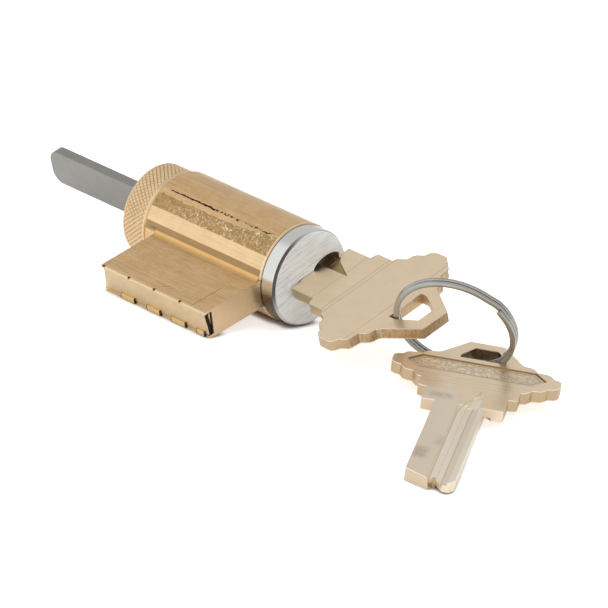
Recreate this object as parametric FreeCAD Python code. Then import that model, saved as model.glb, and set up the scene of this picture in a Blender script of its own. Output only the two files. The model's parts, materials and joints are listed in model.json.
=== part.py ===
"""Key-in-knob lock cylinder with its key in place, a split ring and a spare key.

Lengths in millimetres. The plug turns about the X axis and the key side faces +X. The
origin is on that axis in the front plane of the shell. The housing points to -Y and sags
until its lower outer corner and the barrel both touch the table at z = -BARREL_R. The
spine of the key and the finger notch of the head point away from it.
"""
import FreeCAD, Part
import math
import os

V = FreeCAD.Vector

# Shell: round barrel with the pin housing
BARREL_R = 9.0
RIM_CHAMFER = 0.25
HOUSING_REACH = 21.8
HOUSING_LEN = 26.4
COLLAR_LEN = 3.0
BARREL_LEN = HOUSING_LEN + COLLAR_LEN
HOUSING_THICK = 5.40
HOUSING_FILLET = 1.6
HOUSING_ROUND = 0.8
BORE_R = 6.40
RECESS_R = 7.50
RECESS_DEPTH = 1.15

# Strip that closes the pin chambers, and the lips that hold it
SLOT_LOW = -2.00
SLOT_HIGH = 2.25
SLOT_DEPTH = 1.20
STRIP_THICK = 0.85
STRIP_SIDE_GAP = 0.05
STRIP_FRONT = -0.90
STRIP_BACK = -(HOUSING_LEN - 0.30)
LIP_TAB_SPANS = ((-22.0, -18.6), (-15.5, -12.1), (-9.3, -5.7), (-2.9, -0.9))
LIP_TAB_OVER = 0.55
LIP_TAB_THICK = 0.27
LIP_DROP = 0.32
STAKE_X = (-25.7, -19.3, -12.9, -6.4)
STAKE_WIDTH = 0.5

# Plug with its head
PLUG_R = 6.35
FLANGE_R = 7.42
FLANGE_BACK = -1.05
HEAD_BACK = 0.15
HEAD_FRONT = 3.20
HEAD_R = 8.75
HEAD_CHAMFER = 0.38
PLUG_BACK_OUT = 0.10
PLUG_BACK = -(BARREL_LEN + PLUG_BACK_OUT)
TAIL_BOSS_R = 6.00
TAIL_BOSS_LEN = 3.80
TAIL_BOSS_BACK = PLUG_BACK - TAIL_BOSS_LEN
NOTCH_R = 3.30
NOTCH_CENTRE = 4.20
NOTCH_FLOOR = 0.95

# Pins
PIN_COUNT = 6
PIN_FIRST_X = -2.60
PIN_PITCH = 3.97
PIN_R = 1.46
CHAMBER_R = 1.50
DRIVER_INNER = 6.43
DRIVER_LEN = 4.80
SPRING_TURNS = 7.0
SPRING_R = 1.15
SPRING_WIRE = 0.28
END_GAP = 0.03

# Key
KEY_THICK = 2.15
KEY_OFFSET = -0.20
BLADE_CUT_EDGE = -2.36
BLADE_SPINE = 6.18
SHOULDER_S = 3.60
TIP_BEYOND_BARREL = 0.50
BLADE_LEN = SHOULDER_S + BARREL_LEN + TIP_BEYOND_BARREL
BOW_CENTRE = 2.30
KEYWAY_GAP = 0.08

# Cap, its locking pin and the tail blade
CAP_R = 8.50
CAP_GAP = 0.25
CAP_LEN = 6.15
CAP_FRONT = -(BARREL_LEN + CAP_GAP)
CAP_BACK = CAP_FRONT - CAP_LEN
CAP_WALL = 1.30
CAP_CHAMFER = 0.40
CAP_BORE_GAP = 0.05
CAP_HOLE_R = 3.62
TAIL_WIDTH = 6.80
TAIL_THICK = 2.05
TAIL_REACH = 26.80
TAIL_END = CAP_BACK - TAIL_REACH
TAIL_ROUND = 2.3
TAIL_BASE_R = 4.05
TAIL_BASE_THICK = 1.00
TONGUE_LEN = 2.0
CAP_PIN_R = 0.75
CAP_PIN_AT = 5.05
CAP_PIN_LEN = 3.20
CAP_PIN_HOLE = 5.20
DIMPLE_DEPTH = 0.35

# How things lie: the turn of the plug in the shell
PLUG_TURN_DEG = 4.5

# Split ring: two turns of flattened wire, whose ends lap past each other
RING_R = 10.43
RING_WIRE_RADIAL = 1.05
RING_WIRE_AXIAL = 0.72
RING_TURN_GAP = 0.04
RING_LAP_DEG = 76.0
RING_SPREAD_DEG = 18.0
RING_START_DEG = 68.0
RING_CENTRE = (34.45, 3.93, 1.45)
RING_AXIS = V(0.4115, -0.7554, -0.5100)

# Spare key lying face down: point at the cut edge near the tip, axes of the key
SPARE_TIP = (63.82, -36.44, -6.80)
SPARE_TIP_S = -26.9
SPARE_SIDE = V(0.797, 0.604, 0.0)
SPARE_UP_BLADE = V(-0.6030, 0.7964, 0.0452)
SPARE_YAW_DEG = 1.6

# Half outline of the bow beyond the shoulder: distance along the key, half width
BOW_HALF = (
    (3.60, 7.00), (8.90, 7.00), (9.15, 8.15), (9.50, 8.55), (12.85, 8.55),
    (13.10, 9.35), (14.70, 10.25), (14.95, 11.55), (15.30, 12.05), (16.55, 12.70),
    (16.85, 13.70), (17.50, 14.35), (18.20, 14.50), (20.30, 14.50), (20.90, 13.95),
    (21.25, 13.05), (22.45, 12.45), (22.75, 11.70), (22.95, 10.00), (24.10, 9.30),
    (24.55, 8.70), (24.75, 7.55), (25.30, 6.90), (31.60, 3.00),
)
BOW_HOLE = ((24.05, 3.95), (25.30, 3.95), (29.20, 1.95))
BOW_HOLE_CENTRE = 2.60
PANEL_HALF = ((16.70, 9.80), (19.60, 12.00), (22.50, 9.80))
PANEL_DEPTH = 0.20


def housing_tilt():
    """Angle in degrees by which the housing sags until its round corner is on the table."""
    out = HOUSING_REACH - HOUSING_ROUND
    down = HOUSING_THICK / 2 - HOUSING_ROUND
    reach = math.hypot(out, down)
    return math.degrees(math.asin((BARREL_R - HOUSING_ROUND) / reach) - math.atan2(down, out))


SHELL_TILT = housing_tilt()
PLUG_TILT = SHELL_TILT + PLUG_TURN_DEG
PIN_XS = [PIN_FIRST_X - PIN_PITCH * i for i in range(PIN_COUNT)]
KEY_TOP = KEY_OFFSET + KEY_THICK / 2
KEY_BOTTOM = KEY_OFFSET - KEY_THICK / 2


def rod(x_front, x_back, radius, y=0.0, z=0.0):
    """Cylinder along X from x_back to x_front."""
    return Part.makeCylinder(radius, x_front - x_back, V(x_back, y, z), V(1, 0, 0))


def block(x0, x1, y0, y1, z0, z1):
    """Box between two corners."""
    return Part.makeBox(x1 - x0, y1 - y0, z1 - z0, V(x0, y0, z0))


def prism_x(points, x_front, x_back):
    """Closed outline in the YZ plane carried along X."""
    wire = Part.makePolygon([V(x_back, y, z) for y, z in points] + [V(x_back, *points[0])])
    return Part.Face(wire).extrude(V(x_front - x_back, 0, 0))


def prism_z(points, z_low, z_high):
    """Closed outline in the XY plane carried along Z."""
    wire = Part.makePolygon([V(x, y, z_low) for x, y in points] + [V(*points[0], z_low)])
    return Part.Face(wire).extrude(V(0, 0, z_high - z_low))


def turned(profile, y=0.0, z=0.0):
    """Body of revolution about a line along X from (x, radius) points."""
    points = [V(x, y + r, z) for x, r in profile]
    face = Part.Face(Part.makePolygon(points + [points[0]]))
    return face.revolve(V(0, y, z), V(1, 0, 0), 360)


def outward_turned(profile, x):
    """Body of revolution about the pin line at x; profile holds (distance out, radius)."""
    points = [V(x + r, -u, 0) for u, r in profile]
    face = Part.Face(Part.makePolygon(points + [points[0]]))
    return face.revolve(V(x, 0, 0), V(0, 1, 0), 360)


def coil(radius, wire, turns, length):
    """Spring of square wire along +Z, its ends inside 0 and length."""
    span = length - wire
    helix = Part.makeHelix(span / turns, span, radius)
    half = wire / 2
    corners = [(-half, -half), (half, -half), (half, half), (-half, half), (-half, -half)]
    section = Part.makePolygon([V(radius + a, 0, b) for a, b in corners])
    body = Part.Wire(helix.Edges).makePipeShell([section], True, True)
    body.translate(V(0, 0, half))
    return body


def aligned(shape, direction, origin):
    """Turn a shape built along +Z so that it runs along direction from origin."""
    placed = shape.copy()
    turn = FreeCAD.Placement(origin, FreeCAD.Rotation(V(0, 0, 1), direction))
    placed.Placement = turn.multiply(shape.Placement)
    return placed


def make_shell():
    """Barrel, pin housing, bore, chambers and the lips over the strip."""
    half = HOUSING_THICK / 2
    barrel = turned([
        (0, 0), (0, BARREL_R - RIM_CHAMFER), (-RIM_CHAMFER, BARREL_R),
        (-BARREL_LEN + RIM_CHAMFER, BARREL_R), (-BARREL_LEN, BARREL_R - RIM_CHAMFER),
        (-BARREL_LEN, 0),
    ])
    housing = block(-HOUSING_LEN, 0, -HOUSING_REACH, 0, -half, half)
    edges = [e for e in housing.Edges
             if abs(e.CenterOfMass.y + HOUSING_REACH) < 1e-6
             and abs(e.CenterOfMass.z + half) < 1e-6]
    housing = housing.makeFillet(HOUSING_ROUND, edges)
    body = barrel.fuse(housing)
    # the concave fillets, each a strip between the barrel, the housing and an arc
    rise = half + HOUSING_FILLET
    out = math.sqrt((BARREL_R + HOUSING_FILLET) ** 2 - rise ** 2)
    touch = BARREL_R / (BARREL_R + HOUSING_FILLET)
    for side in (1, -1):
        corner = prism_x([(-out, side * (half - 0.4)), (-out, side * half),
                          (-out * touch, side * rise * touch), (-out * touch + 0.6, 0)],
                         -RIM_CHAMFER, -HOUSING_LEN)
        groove = rod(0.5, -HOUSING_LEN - 0.5, HOUSING_FILLET, -out, side * rise)
        body = body.fuse(corner.cut(groove))
    body = body.removeSplitter()
    # slot for the strip, its lips notched where they were staked
    floor = -HOUSING_REACH + SLOT_DEPTH
    body = body.cut(block(-HOUSING_LEN - 1, 1, -HOUSING_REACH - 1, floor, SLOT_LOW, SLOT_HIGH))
    for x in STAKE_X:
        body = body.cut(block(x - STAKE_WIDTH / 2, x + STAKE_WIDTH / 2,
                              -HOUSING_REACH - 1, -HOUSING_REACH + 0.3, SLOT_HIGH - 0.1, half + 1))
    # the lower lip is lower between its tabs
    low_edge = -half + HOUSING_ROUND * 0.35
    ends = [-HOUSING_LEN - 1] + [x for span in LIP_TAB_SPANS for x in span] + [1]
    for x0, x1 in zip(ends[0::2], ends[1::2]):
        body = body.cut(block(x0, x1, -HOUSING_REACH - 1, -HOUSING_REACH + LIP_DROP,
                              -half - 1, SLOT_LOW + 0.1))
    for x0, x1 in LIP_TAB_SPANS:
        body = body.fuse(block(x0, x1, -HOUSING_REACH, -HOUSING_REACH + LIP_TAB_THICK,
                               low_edge, SLOT_LOW + LIP_TAB_OVER))
    body = body.cut(rod(1, -BARREL_LEN - 1, BORE_R))
    body = body.cut(rod(1, -RECESS_DEPTH, RECESS_R))
    for x in PIN_XS:
        body = body.cut(Part.makeCylinder(CHAMBER_R, HOUSING_REACH + 1, V(x, -3, 0), V(0, -1, 0)))
    return body.removeSplitter()


def make_strip():
    """Flat strip that closes the pin chambers."""
    inner = -HOUSING_REACH + LIP_TAB_THICK + 0.02 + STRIP_THICK
    strip = block(STRIP_BACK, STRIP_FRONT, inner - STRIP_THICK, inner,
                  SLOT_LOW + STRIP_SIDE_GAP, SLOT_HIGH - STRIP_SIDE_GAP)
    return strip


def keyway_outline(gap):
    """Section of the key blade in the YZ plane, widened all round by gap."""
    top = KEY_TOP + gap
    low = KEY_BOTTOM - gap
    return [
        (BLADE_CUT_EDGE - gap, top), (3.0 + gap, top), (3.0 + gap, top - 0.70),
        (BLADE_SPINE + gap, top - 0.18), (BLADE_SPINE + gap, low + 0.10),
        (5.10 - gap, low), (5.10 - gap, low + 0.55), (3.10 + gap, low + 0.55),
        (3.10 + gap, low + 0.20), (1.60 + gap, low + 0.20), (1.60 + gap, low),
        (BLADE_CUT_EDGE - gap, low),
    ]


def make_plug():
    """Plug with the wide head, finger notch, keyway, pin holes and tail boss."""
    body = turned([
        (HEAD_FRONT, 0), (HEAD_FRONT, HEAD_R - HEAD_CHAMFER), (HEAD_FRONT - HEAD_CHAMFER, HEAD_R),
        (HEAD_BACK, HEAD_R), (HEAD_BACK, FLANGE_R), (FLANGE_BACK, FLANGE_R),
        (FLANGE_BACK, PLUG_R), (PLUG_BACK, PLUG_R), (PLUG_BACK, TAIL_BOSS_R),
        (TAIL_BOSS_BACK, TAIL_BOSS_R), (TAIL_BOSS_BACK, 0),
    ])
    body = body.cut(rod(HEAD_FRONT + 1, NOTCH_FLOOR, NOTCH_R, NOTCH_CENTRE, 0))
    body = body.cut(prism_x(keyway_outline(KEYWAY_GAP), HEAD_FRONT + 1, TAIL_BOSS_BACK - 1))
    # the keyway is open along the spine of the key, right through the rim of the head
    body = body.cut(block(TAIL_BOSS_BACK - 1, HEAD_FRONT + 1, BLADE_SPINE, HEAD_R + 1,
                          KEY_BOTTOM + 0.02, KEY_TOP - 0.10))
    for x in PIN_XS:
        body = body.cut(Part.makeCylinder(CHAMBER_R, 10, V(x, BLADE_CUT_EDGE + 0.3, 0), V(0, -1, 0)))
    slot = 0.10
    body = body.cut(block(TAIL_BOSS_BACK - 1, TAIL_BOSS_BACK + TONGUE_LEN + 0.15,
                          -TAIL_THICK / 2 - slot, TAIL_THICK / 2 + slot,
                          -TAIL_WIDTH / 2 - slot, TAIL_WIDTH / 2 + slot))
    return body.cut(rod(TAIL_BOSS_BACK + CAP_PIN_HOLE, TAIL_BOSS_BACK - 1,
                        CAP_PIN_R + 0.05, 0, CAP_PIN_AT))


def make_cap():
    """Screwed cap behind the shell; eight dimples inside take the locking pin."""
    bore = TAIL_BOSS_R + CAP_BORE_GAP
    inner = CAP_BACK + CAP_WALL
    body = turned([
        (CAP_FRONT, bore), (CAP_FRONT, CAP_R - CAP_CHAMFER), (CAP_FRONT - CAP_CHAMFER, CAP_R),
        (CAP_BACK + CAP_CHAMFER, CAP_R), (CAP_BACK, CAP_R - CAP_CHAMFER), (CAP_BACK, CAP_HOLE_R),
        (inner, CAP_HOLE_R), (inner, bore),
    ])
    for i in range(8):
        a = math.radians(45 * i + 90)
        body = body.cut(rod(inner + 1, inner - DIMPLE_DEPTH, CAP_PIN_R + 0.10,
                            CAP_PIN_AT * math.cos(a), CAP_PIN_AT * math.sin(a)))
    return body


def make_tail():
    """Flat tail blade with its round base and the tongue that the plug drives."""
    base_back = CAP_BACK + CAP_WALL + 0.03
    base = rod(base_back + TAIL_BASE_THICK, base_back, TAIL_BASE_R)
    half_w = TAIL_WIDTH / 2
    half_t = TAIL_THICK / 2
    tongue_front = TAIL_BOSS_BACK + TONGUE_LEN
    blade = block(TAIL_END, tongue_front, -half_t, half_t, -half_w, half_w)
    edges = [e for e in blade.Edges
             if abs(e.CenterOfMass.x - TAIL_END) < 1e-6 and abs(e.CenterOfMass.y) < 1e-6]
    blade = blade.makeFillet(TAIL_ROUND, edges)
    return blade.fuse(base).removeSplitter()


def make_key_pin(x):
    """Pin in the plug, its blunt cone resting on the edge of the key."""
    inner = -BLADE_CUT_EDGE + END_GAP
    outer = PLUG_R - 0.11
    return outward_turned([
        (inner, 0), (inner, 0.55), (inner + 0.75, PIN_R), (outer - 0.25, PIN_R),
        (outer, 0.95), (outer, 0),
    ], x)


def make_driver(x):
    """Pin in the housing, standing on the plug."""
    outer = DRIVER_INNER + DRIVER_LEN
    return outward_turned([
        (DRIVER_INNER, 0), (DRIVER_INNER, PIN_R - 0.45), (DRIVER_INNER + 0.25, PIN_R),
        (outer - 0.25, PIN_R), (outer, PIN_R - 0.25), (outer, 0),
    ], x)


def make_pin_spring(x):
    """Spring between a driver pin and the strip."""
    start = DRIVER_INNER + DRIVER_LEN + END_GAP
    end = HOUSING_REACH - LIP_TAB_THICK - 0.02 - STRIP_THICK - END_GAP
    return aligned(coil(SPRING_R, SPRING_WIRE, SPRING_TURNS, end - start), V(0, -1, 0), V(x, -start, 0))


def make_cap_pin():
    """Small round-nosed pin that locks the cap."""
    nose = CAP_BACK + CAP_WALL - DIMPLE_DEPTH + 0.04
    return turned([
        (nose + CAP_PIN_LEN, 0), (nose + CAP_PIN_LEN, CAP_PIN_R), (nose + 0.30, CAP_PIN_R),
        (nose, CAP_PIN_R - 0.35), (nose, 0),
    ], 0, CAP_PIN_AT)


def make_cap_pin_spring():
    """Spring that pushes the locking pin back."""
    nose = CAP_BACK + CAP_WALL - DIMPLE_DEPTH + 0.04
    start = nose + CAP_PIN_LEN + END_GAP
    end = TAIL_BOSS_BACK + CAP_PIN_HOLE - END_GAP
    body = coil(0.52, 0.2, 5, end - start)
    return aligned(body, V(1, 0, 0), V(start, 0, CAP_PIN_AT))


def make_key():
    """Uncut key: length along X, cut edge to spine along Y, flats facing Z."""
    upper = [(s, BOW_CENTRE + h) for s, h in BOW_HALF]
    lower = [(s, BOW_CENTRE - h) for s, h in reversed(BOW_HALF)]
    bow = prism_z(upper + lower, KEY_BOTTOM, KEY_TOP)
    hole = [(s, BOW_HOLE_CENTRE + h) for s, h in BOW_HOLE]
    hole += [(s, BOW_HOLE_CENTRE - h) for s, h in reversed(BOW_HOLE)]
    bow = bow.cut(prism_z(hole, KEY_BOTTOM - 1, KEY_TOP + 1))
    # shallow long panel on the lower flat
    panel = [(s, BOW_CENTRE + h) for s, h in PANEL_HALF]
    panel += [(s, BOW_CENTRE - h) for s, h in reversed(PANEL_HALF)]
    bow = bow.cut(prism_z(panel, KEY_BOTTOM - 1, KEY_BOTTOM + PANEL_DEPTH))
    # the milled step runs out into the bow on the upper flat
    top = KEY_TOP
    runout = [(3.0, 3.0), (9.4, 3.15), (5.3, 5.5), (3.9, 7.2), (3.0, 7.6)]
    bow = bow.cut(prism_z(runout, top - 0.55, top + 1))
    runout = [(3.0, 3.1), (7.4, 3.6), (8.9, 5.3), (3.0, 5.1)]
    bow = bow.cut(prism_z(runout, KEY_BOTTOM - 1, KEY_BOTTOM + 0.45))
    blade = prism_x(keyway_outline(0.0), SHOULDER_S + 0.4, SHOULDER_S - BLADE_LEN)
    end = SHOULDER_S - BLADE_LEN
    tip_side = [(end - 1, BLADE_CUT_EDGE - 1), (end + 3.9, BLADE_CUT_EDGE - 1),
                (end + 3.5, BLADE_CUT_EDGE), (end + 0.6, 1.9), (end + 1.9, 2.6),
                (end + 1.7, 3.0), (end, 4.4), (end + 0.3, 5.5), (end + 1.8, BLADE_SPINE),
                (end + 1.8, BLADE_SPINE + 1), (end - 1, BLADE_SPINE + 1)]
    blade = blade.cut(prism_z(tip_side, KEY_BOTTOM - 1, KEY_TOP + 1))
    return bow.fuse(blade).removeSplitter()


def ring_layer(turned_deg):
    """Where the wire lies along the ring's axis, in layers, after so many degrees of path.

    Where the ends lap there are three layers, at +1, 0 and -1. Elsewhere there are two.
    """
    lap = RING_LAP_DEG
    steps = [(0, 1.0), (lap, 1.0), (lap + RING_SPREAD_DEG, 0.5), (360 - RING_SPREAD_DEG, 0.5),
             (360, 0.0), (360 + lap, 0.0), (360 + lap + RING_SPREAD_DEG, -0.5),
             (720 - RING_SPREAD_DEG, -0.5), (720, -1.0), (720 + lap, -1.0)]
    for (a0, z0), (a1, z1) in zip(steps, steps[1:]):
        if turned_deg <= a1:
            part = (turned_deg - a0) / (a1 - a0)
            return z0 + (z1 - z0) * (3 * part ** 2 - 2 * part ** 3)
    return -1.0


def make_ring():
    """Wire wound clockwise about +Z for two turns and the lap, ends cut square."""
    pitch = RING_WIRE_AXIAL + RING_TURN_GAP
    total = 720 + RING_LAP_DEG
    count = 133
    points = []
    for i in range(count + 1):
        path = total * i / count
        angle = math.radians(RING_START_DEG - path)
        points.append(V(RING_R * math.cos(angle), RING_R * math.sin(angle),
                        pitch * ring_layer(path)))
    curve = Part.BSplineCurve()
    curve.interpolate(points)
    spine = Part.Wire(curve.toShape())
    a = RING_WIRE_RADIAL / 2
    b = RING_WIRE_AXIAL / 2
    out = V(points[0].x, points[0].y, 0).normalize()
    corners = [(-a, -b), (a, -b), (a, b), (-a, b), (-a, -b)]
    section = Part.makePolygon([points[0] + out * p + V(0, 0, q) for p, q in corners])
    sweep = Part.BRepOffsetAPI.MakePipeShell(spine)
    sweep.setBiNormalMode(V(0, 0, 1))
    sweep.add(section)
    sweep.build()
    sweep.makeSolid()
    return sweep.shape()


def place_ring(ring):
    """Lean the ring against the near edge of the key's hole, just off the table."""
    return aligned(ring, RING_AXIS, V(*RING_CENTRE))


def place_spare(key):
    """Lay the spare key down: tip on the table, bow on the ring's wire."""
    side = FreeCAD.Vector(SPARE_SIDE).normalize()
    along = FreeCAD.Vector(SPARE_UP_BLADE).normalize()
    yaw = math.radians(SPARE_YAW_DEG)
    along = along * math.cos(yaw) + side * math.sin(yaw)
    side = (side - along * side.dot(along)).normalize()
    down = along.cross(side)
    turn = FreeCAD.Matrix(along.x, side.x, down.x, 0, along.y, side.y, down.y, 0,
                          along.z, side.z, down.z, 0, 0, 0, 0, 1)
    placed = key.copy()
    placed.Placement = FreeCAD.Placement(turn)
    corner = placed.Placement.multVec(V(SPARE_TIP_S, BLADE_CUT_EDGE, KEY_BOTTOM))
    placed.translate(V(*SPARE_TIP) - corner)
    low = placed.optimalBoundingBox(False).ZMin
    placed.translate(V(0, 0, -BARREL_R - low))
    return placed


def save(name, shape, tilt=0.0):
    """Turn a shape about the plug axis and write it."""
    placed = shape.copy()
    if tilt:
        placed.rotate(V(0, 0, 0), V(1, 0, 0), tilt)
    placed.exportStep("parts/" + name + ".step")


os.makedirs("parts", exist_ok=True)

save("shell", make_shell(), SHELL_TILT)
save("spring_strip", make_strip(), SHELL_TILT)
save("plug", make_plug(), PLUG_TILT)
save("plug_cap", make_cap(), PLUG_TILT)
save("cap_pin", make_cap_pin(), PLUG_TILT)
save("cap_pin_spring", make_cap_pin_spring(), PLUG_TILT)
save("tail_blade", make_tail(), PLUG_TILT)
for number, pin_x in enumerate(PIN_XS, 1):
    save("key_pin_%d" % number, make_key_pin(pin_x), PLUG_TILT)
    save("driver_pin_%d" % number, make_driver(pin_x), SHELL_TILT)
    save("pin_spring_%d" % number, make_pin_spring(pin_x), SHELL_TILT)
key = make_key()
save("key", key, PLUG_TILT)
save("split_ring", place_ring(make_ring()))
save("spare_key", place_spare(key))
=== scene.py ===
"""Key-in-knob lock cylinder with its keys: fine shapes, finishes, light and camera.

Lengths in the classes are millimetres in a piece's own drawing, where the plug axis is X
and the shell's front plane is x = 0. Placement turns them into metres in the shared frame.
"""
import json
import logging
import math
from dataclasses import dataclass

import bmesh
import bpy
import numpy as np
from mathutils import Matrix, Vector


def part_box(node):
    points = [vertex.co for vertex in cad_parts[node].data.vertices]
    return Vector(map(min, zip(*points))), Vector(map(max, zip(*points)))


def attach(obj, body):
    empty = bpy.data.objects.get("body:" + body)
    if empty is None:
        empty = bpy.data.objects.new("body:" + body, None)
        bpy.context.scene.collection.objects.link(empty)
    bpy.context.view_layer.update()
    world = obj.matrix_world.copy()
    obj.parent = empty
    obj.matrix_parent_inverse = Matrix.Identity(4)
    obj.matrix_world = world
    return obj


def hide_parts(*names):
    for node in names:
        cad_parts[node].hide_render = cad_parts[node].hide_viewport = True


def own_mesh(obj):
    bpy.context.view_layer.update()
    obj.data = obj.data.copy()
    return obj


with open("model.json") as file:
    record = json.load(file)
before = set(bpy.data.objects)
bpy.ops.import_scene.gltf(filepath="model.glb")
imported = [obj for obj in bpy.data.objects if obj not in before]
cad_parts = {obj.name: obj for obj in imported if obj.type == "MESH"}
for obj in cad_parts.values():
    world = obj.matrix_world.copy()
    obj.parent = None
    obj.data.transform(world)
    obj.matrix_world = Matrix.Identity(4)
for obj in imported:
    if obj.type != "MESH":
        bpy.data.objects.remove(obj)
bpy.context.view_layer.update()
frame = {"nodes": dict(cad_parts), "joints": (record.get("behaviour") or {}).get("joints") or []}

MM = 0.001
WELD_M = 2e-6
FLAT_DEG = 0.6
LOG = logging.getLogger("lock_cylinder")

Pair = tuple[float, float]
Triple = tuple[float, float, float]
Colour = Triple
Material = bpy.types.Material
Mesh = bpy.types.Mesh
Node = bpy.types.Node
NodeTree = bpy.types.NodeTree
Object = bpy.types.Object
Socket = bpy.types.NodeSocket
Value = float | Socket


@dataclass(frozen=True)
class Placement:
    """Where a piece's own drawing lies in the shared frame.

    Args:
        turn: rotation from the drawing to the frame.
        origin: the drawing's origin in the frame, in millimetres.
    """

    turn: Matrix
    origin: Vector

    def points(self, local: np.ndarray) -> np.ndarray:
        """Turn an (n, 3) array of drawing millimetres into frame metres."""
        turn = np.array(self.turn.to_3x3())
        return (local @ turn.T + np.array(self.origin)) * MM


@dataclass(frozen=True)
class Lie:
    """How the cylinder lies on the table, worked out from its driving sizes.

    The spare key's two ways are fitted to the photograph: along its blade and across it,
    before a small yaw from the first to the second.
    """

    barrel_r: float = 9.0
    housing_reach: float = 21.8
    housing_thick: float = 5.40
    housing_round: float = 0.8
    plug_turn: float = math.radians(4.5)
    spare_along: Triple = (-0.6030, 0.7964, 0.0452)
    spare_across: Triple = (0.797, 0.604, 0.0)
    spare_yaw: float = math.radians(1.6)

    @property
    def shell_tilt(self) -> float:
        """Angle by which the housing sags until its round corner is on the table.

        Returns:
            The angle in radians.
        """
        out = self.housing_reach - self.housing_round
        down = self.housing_thick / 2 - self.housing_round
        drop = self.barrel_r - self.housing_round
        return math.asin(drop / math.hypot(out, down)) - math.atan2(down, out)

    def shell(self) -> Placement:
        """Placement of the shell's drawing."""
        return Placement(Matrix.Rotation(self.shell_tilt, 4, "X"), Vector())

    def plug(self) -> Placement:
        """Placement of the plug's and the key's drawing."""
        return Placement(Matrix.Rotation(self.shell_tilt + self.plug_turn, 4, "X"), Vector())

    def spare_key(self) -> Placement:
        """Placement of the spare key, which lies face down with its tip on the table.

        Its drawing is the other key's, so the origin follows from the two pieces' boxes.

        Returns:
            The placement.
        """
        side = Vector(self.spare_across).normalized()
        along = Vector(self.spare_along).normalized()
        along = along * math.cos(self.spare_yaw) + side * math.sin(self.spare_yaw)
        side = (side - along * side.dot(along)).normalized()
        turn = Matrix((along, side, along.cross(side))).transposed()
        points = triples(frame["nodes"]["key"].data.vertices, "co") / MM
        points = points @ np.array(self.plug().turn.to_3x3()) @ np.array(turn).T
        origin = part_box("spare_key")[0] / MM - Vector(points.min(0))
        return Placement(turn.to_4x4(), origin)


def triples(items: bpy.types.bpy_prop_collection, name: str) -> np.ndarray:
    """The (n, 3) array of a property of a mesh's points or faces.

    Args:
        items: the mesh's points or faces.
        name: the property, such as co or normal.

    Returns:
        The array.
    """
    values = np.zeros(len(items) * 3)
    items.foreach_get(name, values)
    return values.reshape(-1, 3)


def linked(name: str, data: bpy.types.ID) -> Object:
    """A new object in the scene for a mesh, a lamp or a camera.

    Args:
        name: the object's name.
        data: its mesh, lamp or camera.

    Returns:
        The object.
    """
    made = bpy.data.objects.new(name, data)
    bpy.context.scene.collection.objects.link(made)
    return made


def bare_tree(owner: Material | bpy.types.World) -> NodeTree:
    """An owner's node tree, without the nodes it comes with.

    Args:
        owner: a material or a world.

    Returns:
        The empty tree.
    """
    owner.use_nodes = True
    owner.node_tree.nodes.clear()
    return owner.node_tree


LIE = Lie()


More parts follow.
